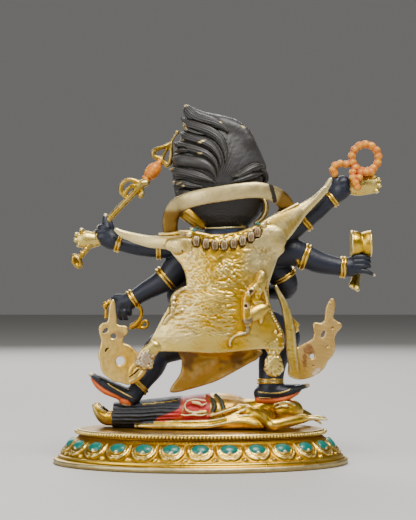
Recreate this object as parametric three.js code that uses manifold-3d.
// Six-armed Mahakala: a small cast, gilded and painted figure that strides over a lying elephant-headed
// figure on an oval lotus plinth, with an elephant's hide held stretched across its back.
// Millimetres, +Z up. The figure faces -Y and +X is its own left.
// The origin is the middle of the plinth's underside.
import * as THREE from "three";
import { LoftGeometry } from "three/addons/geometries/LoftGeometry.js";
import { mergeVertices } from "three/addons/utils/BufferGeometryUtils.js";
import Module from "manifold-3d";

const wasm = await Module();
wasm.setup();

// Driving dimensions of the plinth.
const PLINTH_WIDTH = 90;
const PLINTH_DEPTH = 57.6;
const PLINTH_HEIGHT = 10.5;
const FOOT_BAND_HEIGHT = 2;
const FILLET_HEIGHT = 1;
const FILLET_INSET = 1.5;
const RIM_INSET = 6.7;
const RIM_EDGE_HEIGHT = 0.5;
const NECK_INSET = 8;
const NECK_HEIGHT = 0.5;
const BEAD_COUNT = 52;
const BEAD_HEIGHT = 1.1;
const BEAD_RELIEF = 0.7;
const PETAL_COUNT = 26;
const PETAL_RELIEF = 0.55;
const STONE_WIDTH = 4.6;
const STONE_RELIEF = 0.7;
const STONE_LIFT = 0.9;

// Driving dimensions of the figure and of what it carries.
const FIGURE_HEIGHT = 100;
const HIDE_THICKNESS = 1.4;
const SCARF_WIDTH = 5.2;
const SCARF_THICKNESS = 1.3;
const SCARF_END_THICKNESS = 1.6;
const BAND_WIDTH = 1.4;
const BAND_RELIEF = 0.7;
const STAFF_RADIUS = 1;
const ROPE_RADIUS = 0.6;
const BEADS_RADIUS = 1.2;
const DRUM_LENGTH = 6.8;
const CLEARANCE = 0.3;

// Pose and carving are shares of the figure's height: one unit is a hundredth of it, up from the plinth.
const UNIT = FIGURE_HEIGHT / 100;
const FULL_TURN = Math.PI * 2;
const BACK = new THREE.Vector3(0, 1, 0);
const UP = new THREE.Vector3(0, 0, 1);

function place(x, y, z) {
  return new THREE.Vector3(x * UNIT, y * UNIT, PLINTH_HEIGHT + z * UNIT);
}

// A closed geometry as a solid that can be joined and cut.
function solid(geometry) {
  const bare = new THREE.BufferGeometry();
  bare.setAttribute("position", geometry.getAttribute("position"));
  bare.setIndex(geometry.index);
  const merged = mergeVertices(bare, 1e-4);
  return new wasm.Manifold(
    new wasm.Mesh({
      numProp: 3,
      vertProperties: new Float32Array(merged.attributes.position.array),
      triVerts: new Uint32Array(merged.index.array),
    }),
  );
}

// A capped skin over rings of points, wound so that its faces look outwards.
function loft(sections) {
  const middle = (points) =>
    points.reduce((sum, p) => sum.add(p), new THREE.Vector3()).divideScalar(points.length);
  const [first, second] = sections;
  const centre = middle(first);
  const turn = new THREE.Vector3();
  first.forEach((p, i) => {
    const q = first[(i + 1) % first.length];
    turn.add(p.clone().sub(centre).cross(q.clone().sub(centre)));
  });
  const forwards = turn.dot(middle(second).sub(centre)) > 0;
  const wound = forwards ? sections : sections.map((points) => [...points].reverse());
  return solid(new LoftGeometry(wound, { capStart: true, capEnd: true }));
}

function join(solids) {
  return solids.reduce((whole, piece) => whole.add(piece));
}

// What a cut leaves of a piece: its largest body, without the crumbs.
function largest(piece) {
  return piece.decompose().reduce((most, body) => (body.volume() > most.volume() ? body : most));
}

// A ring of points round a centre, across the direction of travel; b runs along "up" and a across it.
function ring(centre, along, up, a, b, sides) {
  const normal = up.clone().addScaledVector(along, -up.dot(along)).normalize();
  const across = new THREE.Vector3().crossVectors(normal, along).normalize();
  const points = [];
  for (let i = 0; i < sides; i++) {
    const angle = (i / sides) * FULL_TURN;
    points.push(
      centre
        .clone()
        .addScaledVector(across, a * Math.cos(angle))
        .addScaledVector(normal, -b * Math.sin(angle)),
    );
  }
  return points;
}

// A limb, lock or cord through stations [x, y, z, a, b]: a smooth curve whose radii change on the way.
// Its ends are rounded, and it wears a band at each station listed in bands.
// pad swells it, for cutting its neighbours with a gap.
function limb(stations, { sides = 8, up = BACK, pad = 0, round = 0.55, bands = [] } = {}) {
  const curve = new THREE.CatmullRomCurve3(
    stations.map(([x, y, z]) => place(x, y, z)),
    false,
    "centripetal",
  );
  const last = stations.length - 1;
  const sections = [];
  const section = (k, { shrink = 1, shift = 0, grow: more = 0 } = {}) => {
    const [, , , a, b = a] = stations[k];
    const along = curve.getTangent(k / last).normalize();
    const centre = curve.getPoint(k / last).addScaledVector(along, shift * UNIT);
    const radius = (r) => (r * UNIT + pad) * shrink + more * UNIT;
    sections.push(ring(centre, along, up, radius(a), radius(b), sides));
  };
  const tip = (k) => Math.min(stations[k][3], stations[k][4] ?? stations[k][3]) + pad / UNIT;
  const halfBand = BAND_WIDTH / 2 / UNIT;
  const grow = BAND_RELIEF / UNIT;
  section(0, { shrink: 0.5, shift: -round * tip(0) });
  for (let k = 0; k <= last; k++) {
    if (bands.includes(k)) {
      section(k, { shift: -halfBand });
      section(k, { shift: -halfBand, grow });
      section(k, { shift: halfBand, grow });
      section(k, { shift: halfBand });
    } else {
      section(k);
    }
  }
  section(last, { shrink: 0.5, shift: round * tip(last) });
  return loft(sections);
}

// An ellipsoid at [x, y, z] with radii in the same units, turned about Y by "lean" degrees.
function blob([x, y, z], [a, b, c], { lean = 0, wide = 8, high = 5, pad = 0 } = {}) {
  const centre = place(x, y, z);
  const geometry = new THREE.SphereGeometry(1, wide, high);
  geometry.rotateX(Math.PI / 2);
  geometry.scale(a * UNIT + pad, b * UNIT + pad, c * UNIT + pad);
  geometry.rotateY(THREE.MathUtils.degToRad(lean));
  geometry.translate(centre.x, centre.y, centre.z);
  return solid(geometry);
}

// A bangle round a limb: a short, wider stretch of it.
function bangle([x, y, z], direction, radius, { width = 1.3, sides = 6, up = BACK } = {}) {
  const along = new THREE.Vector3(...direction).normalize();
  const ends = [-width / 2, width / 2].map((shift) =>
    ring(place(x, y, z).addScaledVector(along, shift * UNIT), along, up, radius * UNIT, radius * UNIT, sides),
  );
  return loft(ends);
}

// A flat casting with an outline in the XZ plane, from y to y + thickness towards the back.
function plate(outline, holes, y, thickness, { points = 24, holePoints = 6, pad = 0 } = {}) {
  const loop = (places) =>
    new THREE.CatmullRomCurve3(
      places.map(([x, z]) => new THREE.Vector3(x, z, 0)),
      true,
      "centripetal",
    );
  const shape = new THREE.Shape(
    loop(outline)
      .getPoints(points)
      .slice(0, -1)
      .map((p) => new THREE.Vector2(p.x, p.y)),
  );
  for (const [x, z, radius] of holes) {
    const hole = new THREE.Path();
    hole.absellipse(x, z, radius, radius, 0, FULL_TURN, true);
    shape.holes.push(new THREE.Path(hole.getPoints(holePoints).slice(0, -1)));
  }
  const geometry = new THREE.ExtrudeGeometry(shape, {
    depth: thickness + 2 * pad,
    bevelEnabled: false,
    steps: 1,
  });
  geometry.rotateX(Math.PI / 2);
  geometry.scale(UNIT, 1, UNIT);
  geometry.translate(0, y * UNIT + thickness + pad, PLINTH_HEIGHT);
  return solid(geometry);
}

// The oval of the plinth, inset from its foot's edge, as a curve that can be walked at an even pace.
function oval(inset) {
  return new THREE.EllipseCurve(0, 0, PLINTH_WIDTH / 2 - inset, PLINTH_DEPTH / 2 - inset, 0, FULL_TURN);
}

function ovalRing(inset, z, count) {
  return oval(inset)
    .getSpacedPoints(count)
    .slice(0, -1)
    .map((p) => new THREE.Vector3(p.x, p.y, z));
}

// The petals' slope runs from the fillet in to the neck.
const SLOPE_LOW = { inset: FILLET_INSET + 0.7, z: FOOT_BAND_HEIGHT + FILLET_HEIGHT };
const SLOPE_HIGH = {
  inset: NECK_INSET - 0.4,
  z: PLINTH_HEIGHT - RIM_EDGE_HEIGHT - BEAD_HEIGHT - NECK_HEIGHT,
};

function plinthCore() {
  const foot = [
    [0, 0],
    [0, FOOT_BAND_HEIGHT],
    [FILLET_INSET - 0.3, FOOT_BAND_HEIGHT + 0.1],
    [SLOPE_LOW.inset, SLOPE_LOW.z],
  ];
  // The slope has one facet to a petal, so each petal sits square on its own.
  const slope = [
    [SLOPE_LOW.inset - 0.2, SLOPE_LOW.z - 0.5],
    [SLOPE_HIGH.inset - 0.2, SLOPE_HIGH.z],
    [NECK_INSET, SLOPE_HIGH.z + 0.4],
    [NECK_INSET, PLINTH_HEIGHT - RIM_EDGE_HEIGHT],
  ];
  return loft(foot.map(([inset, z]) => ovalRing(inset, z, 2 * PETAL_COUNT))).add(
    loft(slope.map(([inset, z]) => ovalRing(inset, z, PETAL_COUNT))),
  );
}

// The top disc with its ring of beads: each bead is a four-sided boss between two rings.
function beadedRim() {
  const low = ovalRing(NECK_INSET - 0.3, PLINTH_HEIGHT - RIM_EDGE_HEIGHT - BEAD_HEIGHT, BEAD_COUNT);
  const high = ovalRing(NECK_INSET - 0.3, PLINTH_HEIGHT - RIM_EDGE_HEIGHT, BEAD_COUNT);
  const between = oval(NECK_INSET - 0.3 - BEAD_RELIEF).getSpacedPoints(2 * BEAD_COUNT);
  const middle = PLINTH_HEIGHT - RIM_EDGE_HEIGHT - BEAD_HEIGHT / 2;
  const points = [...low, ...high];
  for (let i = 0; i < BEAD_COUNT; i++) {
    const peak = between[2 * i + 1];
    points.push(new THREE.Vector3(peak.x, peak.y, middle));
  }
  points.push(new THREE.Vector3(0, 0, low[0].z), new THREE.Vector3(0, 0, high[0].z));
  const index = [];
  for (let i = 0; i < BEAD_COUNT; i++) {
    const next = (i + 1) % BEAD_COUNT;
    const corners = [i, next, BEAD_COUNT + next, BEAD_COUNT + i];
    const peak = 2 * BEAD_COUNT + i;
    corners.forEach((corner, k) => index.push(corner, corners[(k + 1) % 4], peak));
    index.push(3 * BEAD_COUNT, next, i);
    index.push(3 * BEAD_COUNT + 1, BEAD_COUNT + i, BEAD_COUNT + next);
  }
  const geometry = new THREE.BufferGeometry().setFromPoints(points).setIndex(index);
  const edge = [PLINTH_HEIGHT - RIM_EDGE_HEIGHT, PLINTH_HEIGHT].map((z, k) =>
    ovalRing(RIM_INSET + 0.15 * k, z, BEAD_COUNT),
  );
  return solid(geometry).add(loft(edge));
}

// One lotus petal on the slope: a raised, blunt-tipped outline with a domed stone in its middle.
function petal(u) {
  const middle = (SLOPE_LOW.inset + SLOPE_HIGH.inset) / 2;
  const curve = oval(middle);
  const at = curve.getPointAt(u);
  const along = curve.getTangentAt(u);
  const across = new THREE.Vector3(along.x, along.y, 0);
  const out = new THREE.Vector3(along.y, -along.x, 0);
  const down = new THREE.Vector3()
    .addScaledVector(out, SLOPE_HIGH.inset - SLOPE_LOW.inset)
    .addScaledVector(UP, SLOPE_LOW.z - SLOPE_HIGH.z);
  const halfSlope = down.length() / 2;
  down.normalize();
  const normal = new THREE.Vector3().crossVectors(down, across);
  const halfPetal = curve.getLength() / PETAL_COUNT / 2;
  const centre = new THREE.Vector3(at.x, at.y, (SLOPE_LOW.z + SLOPE_HIGH.z) / 2);
  // Corners of the blunt petal as shares of its half width and half length, the tip at the lower end.
  const corners = [
    [0, 1],
    [-0.9, 0.35],
    [-0.9, -0.9],
    [0.9, -0.9],
    [0.9, 0.35],
  ];
  const section = (scaleU, scaleW, shift, lift) =>
    corners.map(([s, w]) =>
      centre
        .clone()
        .addScaledVector(across, s * scaleU)
        .addScaledVector(down, w * scaleW + shift)
        .addScaledVector(normal, lift),
    );
  const stone = STONE_WIDTH / 2;
  return loft([
    section(halfPetal, halfSlope, 0, -0.6),
    section(stone, stone * 0.75, -STONE_LIFT, PETAL_RELIEF),
    section(stone * 0.5, stone * 0.4, -STONE_LIFT, PETAL_RELIEF + STONE_RELIEF),
  ]);
}

function plinth() {
  const petals = [];
  for (let i = 0; i < PETAL_COUNT; i++) petals.push(petal((i + 0.5) / PETAL_COUNT));
  return join([plinthCore(), beadedRim(), ...petals]);
}

// The lying figure: legs under a skirt to +X, elephant's head to -X, one arm thrown out on the near side.
function trampledFigure(pad = 0) {
  const body = limb(
    [
      [26.5, -3.4, 3.6, 3.2, 5],
      [18, -3.4, 4, 3.8, 6],
      [8, -3.4, 4.6, 4.6, 7.4],
      [-1, -3.4, 5, 5.6, 8],
      [-8, -3.4, 5, 5.6, 8],
      [-13, -3.4, 4.4, 4.6, 8.4],
      [-18, -3.4, 3.8, 3.8, 7],
      [-22, -3.4, 4.4, 2.8, 3.4],
    ],
    { sides: 8, pad, round: 0.2 },
  );
  const skirtHem = limb(
    [
      [27.4, -3.4, 3.7, 3.9, 5.6],
      [23, -3.4, 4, 3.8, 5.9],
    ],
    { sides: 8, pad, round: 0.1 },
  );
  const pieces = [body, skirtHem];
  for (const side of [1, -1]) {
    const y = -3 + 3.6 * side;
    const foot = [
      [29, y, 1.8, 1.5, 1.7],
      [31, y, 4.2, 1.3, 1.9],
      [32.6, y, 6.4, 1, 1.7],
    ];
    pieces.push(limb([[26, y, 2.6, 2, 2.2], ...foot], { sides: 6, pad }));
  }
  // Head lying back, ears spread, trunk laid over the chin to the front.
  pieces.push(blob([-25.6, -3.6, 5], [5.8, 5.6, 4.2], { wide: 8, high: 5, pad }));
  pieces.push(blob([-21.6, 3, 4.4], [3.6, 1.2, 3.2], { wide: 6, high: 4, pad }));
  pieces.push(blob([-23, -10.4, 4.4], [3.4, 1.2, 3], { wide: 6, high: 4, pad }));
  const trunk = [
    [-29, -5, 4.4, 2.2],
    [-32.4, -6.5, 3.4, 1.7],
    [-34, -9.5, 2.6, 1.3],
    [-32.5, -12.5, 2.4, 1.1],
  ];
  pieces.push(limb(trunk, { sides: 5, up: UP, pad }));
  const nearArm = [
    [-13, 3, 6, 2.6],
    [-18.6, 8, 5, 2.1],
    [-22.6, 11.6, 2.5, 1.9],
    [-27.6, 9.6, 2.9, 1.7],
    [-31.6, 7.4, 3.4, 1.4],
    [-34.6, 6.4, 3.4, 1.5],
    [-37.6, 6, 3, 0.7],
  ];
  pieces.push(limb(nearArm, { sides: 6, up: UP, pad }));
  const farArm = [
    [-12, -10, 5.4, 2.5],
    [-15, -15, 3.6, 2],
    [-22, -16, 2.6, 1.7],
    [-27.5, -14, 2.4, 1.6],
  ];
  pieces.push(limb(farArm, { sides: 5, up: UP, pad }));
  // The near edge of the cloth lies on the plinth.
  const robe = [
    [19.6, 4, 1.8, 1.4, 1.5],
    [12, 5, 1.6, 1.3, 1.8],
    [2, 5.4, 1.6, 1.4, 2],
    [-8, 5.4, 1.8, 1.6, 2.2],
    [-18, 6.4, 2, 1.8, 2.4],
  ];
  pieces.push(limb(robe, { sides: 5, pad }));
  const below = new THREE.BoxGeometry(2 * PLINTH_WIDTH, 2 * PLINTH_DEPTH, PLINTH_HEIGHT);
  below.translate(0, 0, PLINTH_HEIGHT / 2 + CLEARANCE - pad);
  return join(pieces).subtract(solid(below));
}

// The hide: a panel down the back, its forelegs drawn out to the two upper hands, its hind paws hanging.
function elephantHide(pad = 0) {
  const half = HIDE_THICKNESS / 2 / UNIT;
  // Rows of the panel: height, left edge, right edge, how far back the edges and the middle stand.
  const rows = [
    [23.8, 12.5, -24.6, 8, 10.6],
    [28, 14.2, -25.2, 7.6, 11.4],
    [34, 10.6, -22.8, 8, 12],
    [39.3, 8.4, -21.8, 8.2, 12],
    [43.2, 4.6, -21.2, 8.6, 11.6],
    [49.5, 6.2, -22.8, 8, 11],
    [54.5, 9.8, -25.4, 6.8, 10.2],
    [59.2, 8.2, -26.6, 6.4, 9],
  ];
  const across = 5;
  const sections = rows.map(([z, left, right, edge, middle], k) => {
    const rim = k === 0 ? -pad : k === rows.length - 1 ? pad : 0;
    const back = [];
    const front = [];
    for (let i = 0; i <= across; i++) {
      const t = i / across;
      const bow = Math.sin(Math.PI * t);
      const x = THREE.MathUtils.lerp(left + pad, right - pad, t);
      const y = THREE.MathUtils.lerp(edge, middle, bow);
      const sag = k === rows.length - 1 ? -1.4 * bow : 0;
      back.push(place(x, y + half + pad, z + rim + sag));
      front.unshift(place(x, y - half - pad, z + rim + sag));
    }
    return [...back, ...front];
  });
  const pieces = [loft(sections)];
  const forelegs = [
    [
      [4, 8.2, 55.8, 3.6, half],
      [10, 6.6, 56.4, 2.6, half],
      [16, 5, 57, 1.8, half],
      [22, 3.9, 58.8, 1.2, half],
      [25.6, 3.6, 60.2, 1, half],
    ],
    [
      [-18, 8.8, 56.8, 4.6, half],
      [-22.6, 7.8, 60, 4.4, half],
      [-27.4, 6.6, 64, 3.2, half],
      [-33.2, 5.4, 69, 1.8, half],
      [-36.8, 4.6, 72.2, 1.1, half],
      [-39.2, 4.2, 75.2, 0.8, half],
    ],
  ];
  for (const foreleg of forelegs) pieces.push(limb(foreleg, { sides: 6, pad, round: 0.2 }));
  // Hind paws.
  const leftPaw = [
    [12.4, 8, 28.6, 2.4, 1.2],
    [16.6, 7, 25.6, 1.9, 1.1],
    [18.6, 6.6, 22.6, 2.3, 1.2],
  ];
  const rightPaw = [
    [-22.6, 8.4, 27, 2.2, 1.2],
    [-22.8, 8, 22.4, 1.8, 1.1],
    [-22.4, 8, 18.4, 2.4, 1.3],
  ];
  pieces.push(limb(leftPaw, { sides: 5, pad }), limb(rightPaw, { sides: 5, pad }));
  // The elephant's head hanging on the hide: skull, ear and trunk.
  pieces.push(blob([-16.6, 11.2, 40.4], [3.8, 1.8, 6.4], { wide: 7, high: 5, pad }));
  pieces.push(blob([-19.6, 10.6, 35.6], [2.6, 1.4, 4.4], { wide: 6, high: 5, pad }));
  const trunk = [
    [-14.4, 12.2, 34, 1.7, 1.2],
    [-13, 12.4, 29.6, 1.3, 1.1],
    [-10, 12, 27.4, 1.1, 1],
    [-8.4, 11.6, 25.4, 0.9, 0.9],
  ];
  pieces.push(limb(trunk, { sides: 6, pad }));
  // A fold down the left side.
  const fold = [
    [1.6, 11.4, 47, 0.8, 0.9],
    [6, 11, 42, 0.9, 1.1],
    [8, 10.6, 36, 0.9, 1.1],
    [11.4, 9.4, 30.6, 0.8, 1],
  ];
  pieces.push(limb(fold, { sides: 6, pad }));
  // The garland of severed heads along the nape.
  const garland = new THREE.CatmullRomCurve3(
    [
      [4.1, 9, 59.2],
      [-1.3, 10.6, 56.1],
      [-6.7, 11.2, 55.4],
      [-12.7, 10.8, 57],
      [-17.8, 9.6, 60.4],
    ].map(([x, y, z]) => new THREE.Vector3(x, y, z)),
  );
  for (const p of garland.getSpacedPoints(8)) {
    pieces.push(blob([p.x, p.y, p.z], [1.35, 1.5, 1.8], { wide: 5, high: 4, pad }));
  }
  return join(pieces);
}

// The stiff scarf that rises from the left shoulder, arches behind the head and comes down on the right.
function scarfLoop(pad = 0) {
  const a = SCARF_WIDTH / 2 / UNIT;
  const b = SCARF_THICKNESS / 2 / UNIT;
  const path = [
    [9, 2.4, 59.2],
    [9.1, 3.4, 64],
    [7.5, 5.4, 67.2],
    [4.7, 8.4, 68.6],
    [-0.4, 10.8, 69.9],
    [-5.8, 12, 70.7],
    [-11.7, 12.6, 71.5],
    [-16.6, 12.2, 71.9],
    [-20.6, 11, 71.4],
    [-24.4, 8, 69.8],
    [-26.2, 5.4, 67.4],
    [-25.4, 3.6, 64.6],
  ];
  const stations = path.map(([x, y, z], i) => {
    const narrow = i === 0 || i === path.length - 1 ? 0.9 : 1;
    return [x, y, z, a * narrow, b];
  });
  return limb(stations, { sides: 6, pad, round: 0.1 });
}

// The left end of the scarf: a flat openwork casting beside the left leg.
function scarfEndLeft(pad = 0) {
  const outline = [
    [27.2, 39.6],
    [25.6, 35],
    [25, 32.6],
    [22.2, 31.2],
    [22.4, 28],
    [20.4, 25.4],
    [16.8, 19.4],
    [17.4, 15.8],
    [22, 13.4],
    [27.2, 14.6],
    [31, 18.4],
    [31.2, 24.6],
    [31, 30],
    [28.6, 32.8],
    [28.4, 36.8],
  ];
  const holes = [
    [24.3, 21.4, 1.9],
    [26.7, 28.2, 0.9],
    [28.8, 30, 0.7],
  ];
  return plate(outline, holes, 3.2, SCARF_END_THICKNESS, { pad });
}

// The right end: a folded ribbon that widens downwards and a flat openwork casting beyond it.
function scarfEndRight(pad = 0) {
  const outline = [
    [-27.6, 24.6],
    [-31.4, 26.8],
    [-34, 28.6],
    [-33.8, 31.4],
    [-37.2, 32],
    [-38.6, 37.4],
    [-40.2, 39.8],
    [-41.4, 37],
    [-41.4, 33.4],
    [-43.2, 31.6],
    [-42, 28.2],
    [-41.6, 23.4],
    [-38.6, 17.8],
    [-33.6, 15.2],
    [-28.2, 16.2],
  ];
  const holes = [
    [-33.6, 22, 0.8],
    [-37.4, 29, 1],
    [-38.4, 25.4, 0.8],
  ];
  const flat = plate(outline, holes, 3.6, SCARF_END_THICKNESS, { pad });
  const ribbon = limb(
    [
      [-22.4, 5, 43.2, 0.8, 0.8],
      [-25.2, 5, 36.8, 1.6, 0.9],
      [-27.2, 4.6, 29, 1.8, 1],
      [-28, 4.4, 19.6, 2.4, 1],
    ],
    { sides: 6, pad, round: 0.15 },
  );
  return join([flat, ribbon]);
}

function trident(pad = 0) {
  const r = STAFF_RADIUS / UNIT;
  const staff = [
    [38, 0.4, 51.2, r],
    [29.4, 0, 61.9, r],
    [18.4, -1, 74.3, r],
    [11.2, -3, 84.6, r * 0.8],
    [7.6, -4, 91, 0.5],
  ];
  const pieces = [limb(staff, { sides: 5, pad })];
  pieces.push(blob([38.2, 0.4, 51], [1.9, 1.6, 2.4], { lean: 38, wide: 6, high: 5, pad }));
  pieces.push(blob([14.8, -2, 79.2], [2.3, 2.3, 3.2], { lean: -40, wide: 7, high: 5, pad }));
  // Ribbon tied below the pot.
  const loops = [
    [
      [18.6, -1, 74.8, 1.2, 1],
      [22.2, -0.8, 75.8, 1.2, 0.9],
      [24.6, -0.6, 73.6, 1.1, 0.8],
      [23.6, -0.6, 70.8, 0.8, 0.7],
    ],
    [
      [18.8, -1, 74.6, 1.1, 0.9],
      [17.6, -0.8, 72.2, 1.1, 0.8],
      [18.8, -0.8, 70.4, 0.8, 0.7],
    ],
  ];
  for (const loop of loops) pieces.push(limb(loop, { sides: 4, pad }));
  // The two outer prongs curl out and in again to the middle one.
  const prongs = [
    [
      [12.4, -3, 83, 0.7],
      [14.7, -3, 84.8, 0.8],
      [12.6, -3, 86.6, 0.7],
      [9.6, -3.4, 87.8, 0.7],
    ],
    [
      [12.2, -3, 83, 0.7],
      [10.2, -3.2, 81.4, 0.8],
      [8.6, -3.4, 83.8, 0.8],
      [9.4, -3.4, 87.6, 0.7],
    ],
  ];
  for (const prong of prongs) pieces.push(limb(prong, { sides: 4, pad }));
  return join(pieces);
}

// The string of beads: a ring above the upper right hand, a hook towards the arm and an end at the hand.
function prayerBeads(pad = 0) {
  const r = BEADS_RADIUS / UNIT;
  const centre = place(-50.4, 1.4, 82.8);
  const torus = new THREE.TorusGeometry(4.4 * UNIT, BEADS_RADIUS + pad, 5, 13);
  torus.rotateX(Math.PI / 2);
  torus.translate(centre.x, centre.y, centre.z);
  const hook = [
    [-46.6, 1.4, 81.2, r],
    [-43.6, 1.5, 81.4, r],
    [-41, 1.4, 80.8, r],
    [-40.2, 1.3, 79, r],
    [-41.4, 1.2, 77.4, r * 0.9],
  ];
  const end = [
    [-46.8, 1.8, 80, r],
    [-46.4, 3.4, 77, r],
    [-46.8, 4.2, 74.6, r],
    [-48, 4.2, 72.8, r * 0.8],
  ];
  return join([solid(torus), limb(hook, { sides: 5, pad }), limb(end, { sides: 5, pad })]);
}

// The drum lies along X above the middle right fist; its sash hangs behind the fingers.
function handDrum(pad = 0) {
  const half = DRUM_LENGTH / 2 / UNIT;
  const drum = limb(
    [
      [-49.2 + half, -1, 56.4, 4.2],
      [-49.2 + half * 0.75, -1, 56.4, 4.2],
      [-49.2, -1, 56.4, 2.8],
      [-49.2 - half * 0.75, -1, 56.4, 4.2],
      [-49.2 - half, -1, 56.4, 4.2],
    ],
    { sides: 10, pad, round: 0.05 },
  );
  const sash = limb(
    [
      [-49.2, -2.4, 55.4, 0.9, 0.9],
      [-49, -5, 51, 1, 0.7],
      [-48, -4.6, 46.4, 1.3, 0.7],
      [-46.8, -2, 42.6, 1.7, 0.6],
    ],
    { sides: 6, pad, round: 0.15 },
  );
  return join([drum, sash]);
}

// The rope in the middle left hand, with a knob at one end and a ring at the other.
function noose(pad = 0) {
  const r = ROPE_RADIUS / UNIT;
  const rope = [
    [29.6, -3.4, 38, r],
    [25.6, -2.4, 39.6, r],
    [21, -1.2, 38.4, r],
    [18.4, -1.6, 36.8, r],
    [18, -2, 34.4, r],
    [20.6, -2.8, 31.6, r],
    [17.6, -3, 30.2, r],
    [15.9, -3, 32.4, r],
    [17.5, -2.8, 33.6, r],
  ];
  const knob = blob([29.8, -3.4, 38], [1.2, 1.1, 1.2], { wide: 6, high: 4, pad });
  return join([limb(rope, { sides: 6, pad }), knob]);
}

// The hair's outline from behind: height, left edge, right edge, and how deep it is.
const HAIR_ROWS = [
  [68, 6.8, -18.6, 8.2],
  [74, 8.9, -19.6, 8.8],
  [79.6, 9.2, -20.2, 8.6],
  [84, 8.8, -19.2, 8],
  [88.4, 7.4, -17.2, 7],
  [92.6, 6.2, -14.4, 5.6],
  [95.6, 5.8, -11.4, 4],
  [97.6, 5.6, -3.6, 2.2],
  [99.8, 5.4, 4.2, 0.7],
];

function hair() {
  const sections = HAIR_ROWS.map(([z, left, right, deep]) => {
    const points = [];
    for (let i = 0; i < 12; i++) {
      const angle = (i / 12) * FULL_TURN;
      const x = (left + right) / 2 + ((left - right) / 2) * Math.cos(angle);
      points.push(place(x, -2.6 + deep * Math.sin(angle), z));
    }
    return points;
  });
  const pieces = [loft(sections)];
  // Combed locks fan out from the nape to the left edge; each ends in a free tip.
  const tips = [
    [6.4, 96, 9],
    [7.6, 91.4, 6],
    [9.6, 87.2, 3],
    [10.4, 82.6, 0],
    [10.6, 79.4, -2],
    [9.6, 74.6, -4],
  ];
  for (const [x, z, rise] of tips) {
    const lock = [
      [-5.6, 4.6, 75.6, 0.8],
      [-2.6, 4.6, THREE.MathUtils.lerp(76, z, 0.35) + rise * 0.4, 1.9],
      [3, 2.4, THREE.MathUtils.lerp(76, z, 0.75) + rise * 0.1, 2.1],
      [x, -0.8, z, 0.6],
    ];
    pieces.push(limb(lock, { sides: 4, round: 0.3 }));
  }
  const nape = [
    [-20, -1, 80.6, 1.4],
    [-16, 4.6, 77.6, 1.8],
    [-9, 6.4, 75, 1],
  ];
  pieces.push(limb(nape, { sides: 4, round: 0.3 }));
  return join(pieces);
}

function head() {
  const pieces = [hair()];
  pieces.push(blob([-7.9, -3.4, 71.4], [11.2, 9.2, 9.6], { wide: 9, high: 6 }));
  const neck = [
    [-8.4, -2, 59, 7, 5.6],
    [-8, -3, 66, 6, 5],
  ];
  pieces.push(limb(neck, { sides: 8 }));
  // Crown: a band round the brow with five upright leaves.
  for (let i = -2; i <= 2; i++) {
    const angle = THREE.MathUtils.degToRad(i * 36);
    const x = -8.2 + 11.8 * Math.sin(angle);
    const y = -2.6 - 9.6 * Math.cos(angle);
    const wide = 2.8 - Math.abs(i) * 0.6;
    const leaf = [
      [x, y + 1, 77.5, wide, 1.4],
      [x, y, 81.5, wide * 0.9, 1.3],
      [x, y + 0.6, 87 - Math.abs(i) * 1.6, 0.7, 0.7],
    ];
    pieces.push(limb(leaf, { sides: 4, round: 0.3 }));
  }
  const brow = bangle([-8, -3.2, 77.4], [0, 0, 1], 10.4, { width: 1.8, sides: 10 });
  pieces.push(brow);
  // Earrings, nose and beard of the hidden face.
  pieces.push(blob([2.2, -1.4, 64.4], [4, 2.2, 2.2], { lean: 35, wide: 6, high: 4 }));
  pieces.push(blob([-19, -1.4, 67], [1.8, 2.2, 3], { wide: 6, high: 4 }));
  pieces.push(blob([-7.8, -12.4, 70.6], [1.9, 2, 1.8], { wide: 6, high: 4 }));
  pieces.push(blob([-7.8, -10.8, 65], [4.6, 2, 2.4], { wide: 6, high: 4 }));
  return join(pieces);
}

function torso() {
  const pieces = [];
  pieces.push(blob([-10.6, -2.4, 51.6], [14.6, 8.4, 9.2], { lean: 4, wide: 9, high: 6 }));
  pieces.push(blob([-9, -6.6, 40.6], [12.2, 11, 10.4], { wide: 9, high: 6 }));
  pieces.push(blob([-8, -3.4, 29.6], [12.4, 8.6, 7.4], { wide: 9, high: 6 }));
  pieces.push(bangle([-8.4, -4.4, 33.2], [0, 0, 1], 11.2, { width: 2.2, sides: 12 }));
  // Tiger skin: its folds between the legs and the tail towards the left foot.
  const skin = [
    [6.6, 23.2],
    [-6, 24.6],
    [-18.8, 23.4],
    [-17, 19.4],
    [-10.4, 15.6],
    [-4.3, 14],
    [2.6, 13],
    [9, 11.4],
    [6.8, 15],
    [6.2, 19.4],
  ];
  pieces.push(plate(skin, [], -0.6, 2.6, { points: 14 }));
  pieces.push(blob([-7.4, -1, 24.2], [11.6, 4.6, 4.4], { wide: 8, high: 5 }));
  return join(pieces);
}

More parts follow.
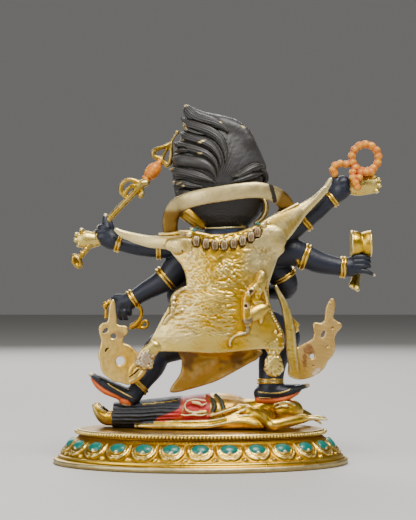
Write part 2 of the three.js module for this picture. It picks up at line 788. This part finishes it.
function legs() {
  const pieces = [];
  const left = [
    [-1, -3, 29, 6.4],
    [7, -5.4, 26.8, 6],
    [13.4, -6, 23.8, 5],
    [15.2, -3.6, 18.4, 3.8],
    [18, -1.2, 14, 2.8],
    [20.4, 0, 11, 2.6],
  ];
  const right = [
    [-15, -3, 31, 6.4],
    [-21, -7.4, 30, 6],
    [-26.4, -9.4, 27.6, 5],
    [-22.8, -4.4, 21.4, 4.6],
    [-21.5, -1, 15.6, 3.9],
    [-21, -0.4, 12, 3.4],
  ];
  pieces.push(limb(left, { sides: 7, bands: [4] }), limb(right, { sides: 7, bands: [4] }));
  const leftFoot = [
    [21, 0, 9.8, 2.3, 2.9],
    [25.4, 0, 11.6, 1.9, 3],
    [29.6, 0, 13.8, 1.8, 3.4],
    [33.2, 0, 16.2, 1, 2.8],
  ];
  const rightFoot = [
    [-19, 0, 10.4, 2.5, 2.9],
    [-23.6, 0, 11.2, 2.4, 3.1],
    [-28.4, 0, 11.8, 2, 3.4],
    [-32.6, 0, 13.2, 1, 2.8],
  ];
  pieces.push(limb(leftFoot, { sides: 7 }), limb(rightFoot, { sides: 7 }));
  return join(pieces);
}

// Each arm runs from the shoulder over its bands to the fist, which is its last two stations.
const ARMS = [
  // Upper left, raised to the trident.
  {
    stations: [
      [1.6, -1.4, 55.4, 4.4],
      [7.6, -0.6, 55.6, 3.6],
      [12.6, 0, 54.9, 2.9],
      [19.3, 0, 55.3, 2.4],
      [25.2, 0, 57, 2.1],
      [28.8, 0, 59.2, 3.1],
      [30.6, -0.2, 59.4, 2.5],
    ],
    bands: [2, 4],
  },
  // Middle left, lowered to the noose.
  {
    stations: [
      [0.6, -2, 53, 5],
      [6.6, -1.4, 49.6, 4],
      [11, -1, 45.2, 3.6],
      [16.6, -2, 42.6, 2.9],
      [20.6, -2, 39.9, 2.3],
      [23.8, -2.2, 37.2, 3],
      [25, -2.4, 35.6, 2.2],
    ],
    bands: [2, 4],
  },
  // Lower left, folded in to the skull cup.
  {
    stations: [
      [0, -4, 50, 4.6],
      [5, -5, 44.6, 4],
      [7.4, -6.6, 40, 3.5],
      [4.6, -12.4, 40.8, 2.9],
      [0.4, -17, 42.6, 2.2],
      [-2.6, -18.8, 43.8, 3],
      [-4.4, -19.4, 44.6, 2.2],
    ],
    bands: [4],
    up: UP,
  },
  // Upper right, raised to the string of beads.
  {
    stations: [
      [-20.4, -1.8, 55.4, 4.8],
      [-26.6, -1.2, 59.8, 3.6],
      [-31.4, -0.6, 63.4, 3.1],
      [-36, 0, 67.2, 2.9],
      [-39.9, 0, 70.4, 2.6],
      [-43, 0, 73.4, 3.2],
      [-44.6, -0.2, 74.4, 2.6],
    ],
    bands: [1, 4],
  },
  // Middle right, thrown out to the hand drum.
  {
    stations: [
      [-20.4, -2, 53.4, 5],
      [-27, -1, 54, 4.2],
      [-32.4, -1, 52.1, 3.7],
      [-37.6, -1, 50.7, 3.3],
      [-43.4, -1, 49.3, 2.8],
      [-47.4, -1, 48.8, 3.4],
      [-50.2, -1, 48.8, 2.6],
    ],
    bands: [2, 4],
  },
  // Lower right, folded in to the curved knife.
  {
    stations: [
      [-20.4, -4, 50.6, 4.8],
      [-25, -4, 46.6, 4.2],
      [-26.4, -6, 42.6, 3.6],
      [-22, -12.6, 42.2, 2.9],
      [-16.8, -17, 43.4, 2.2],
      [-13.6, -18.8, 44.4, 3],
      [-12, -19.4, 45.2, 2.2],
    ],
    bands: [1, 4],
    up: UP,
  },
];

function arms() {
  const pieces = ARMS.map(({ stations, bands, up = BACK }) => limb(stations, { sides: 6, up, bands }));
  // Fingers: two raised on the upper left hand, one pointing on the middle right hand.
  const fingers = [
    [
      [29.6, -0.6, 60.6, 1.1],
      [30, -0.6, 63.4, 0.9],
      [29.4, -0.6, 65.2, 0.6],
    ],
    [
      [27.4, 0.6, 60, 1],
      [27.2, 0.8, 62, 0.8],
      [27.3, 0.8, 63.6, 0.6],
    ],
    [
      [24.4, -3, 36.4, 1.1],
      [24.8, -3, 33.6, 0.8],
    ],
    [
      [-48.4, -1, 48.6, 1.2],
      [-51, -1, 47.6, 0.9],
      [-53, -1, 46.6, 0.6],
    ],
    [
      [-42.2, 0.4, 74.6, 1.2],
      [-41.6, 0.4, 76.4, 0.8],
    ],
  ];
  for (const finger of fingers) pieces.push(limb(finger, { sides: 4 }));
  // The forefeet of the hide, held in the two upper hands.
  const forefeet = [
    [
      [29.6, -0.6, 58.4, 2.2],
      [33, -0.8, 58.2, 2.6],
      [37, -0.8, 58.4, 3],
    ],
    [
      [-44, -0.6, 74.2, 2.6],
      [-49, -0.8, 74.8, 3.5],
      [-54, -0.8, 75, 3.4],
    ],
  ];
  for (const forefoot of forefeet) pieces.push(limb(forefoot, { sides: 6, round: 0.5 }));
  // Skull cup and curved knife, held before the chest.
  pieces.push(blob([-5.4, -20.4, 45.8], [4, 3.4, 2.8], { wide: 7, high: 4 }));
  const blade = [
    [-12.8, -19.6, 46.4, 1, 0.7],
    [-9.6, -20, 49.6, 2, 0.6],
    [-5.6, -20, 50.8, 1.4, 0.5],
    [-3.4, -20, 49.4, 0.6, 0.4],
  ];
  pieces.push(limb(blade, { sides: 4 }));
  return join(pieces);
}

const material = (color, metalness, roughness) =>
  new THREE.MeshStandardMaterial({ color, metalness, roughness });
const GILT = material(0xc9a24a, 0.9, 0.38);

const group = new THREE.Group();

function add(name, piece, finish) {
  const data = piece.getMesh();
  const vertices = new Float32Array(data.numVert * 3);
  for (let i = 0; i < data.numVert; i++) {
    vertices.set(data.vertProperties.subarray(i * data.numProp, i * data.numProp + 3), i * 3);
  }
  const geometry = new THREE.BufferGeometry();
  geometry.setAttribute("position", new THREE.BufferAttribute(vertices, 3));
  geometry.setIndex(new THREE.BufferAttribute(data.triVerts, 1));
  geometry.computeVertexNormals();
  const mesh = new THREE.Mesh(geometry, finish);
  mesh.name = name;
  group.add(mesh);
}

const PAINTED = material(0x2f3440, 0.1, 0.6);
const PALE_GILT = material(0xd8c896, 0.75, 0.45);
const PAINTED_BEADS = material(0xe07f42, 0.1, 0.5);

const cut = (piece, ...others) =>
  largest(others.reduce((left, other) => left.subtract(other(CLEARANCE)), piece));

add("lotus_plinth", plinth(), GILT);
add("trampled_figure", cut(trampledFigure()), GILT);
add(
  "mahakala_figure",
  cut(
    join([head(), torso(), legs(), arms()]),
    trampledFigure,
    elephantHide,
    scarfLoop,
    scarfEndLeft,
    scarfEndRight,
    trident,
    prayerBeads,
    handDrum,
    noose,
  ),
  PAINTED,
);
add("elephant_hide", cut(elephantHide(), scarfLoop, scarfEndLeft, scarfEndRight), PALE_GILT);
add("scarf_loop", cut(scarfLoop()), PALE_GILT);
add("scarf_end_left", cut(scarfEndLeft(), trampledFigure), PALE_GILT);
add("scarf_end_right", cut(scarfEndRight(), trampledFigure), PALE_GILT);
add("trident", cut(trident()), PALE_GILT);
add("prayer_beads", cut(prayerBeads(), elephantHide), PAINTED_BEADS);
add("hand_drum", cut(handDrum()), GILT);
add("noose", cut(noose(), scarfEndLeft), GILT);

export default group;
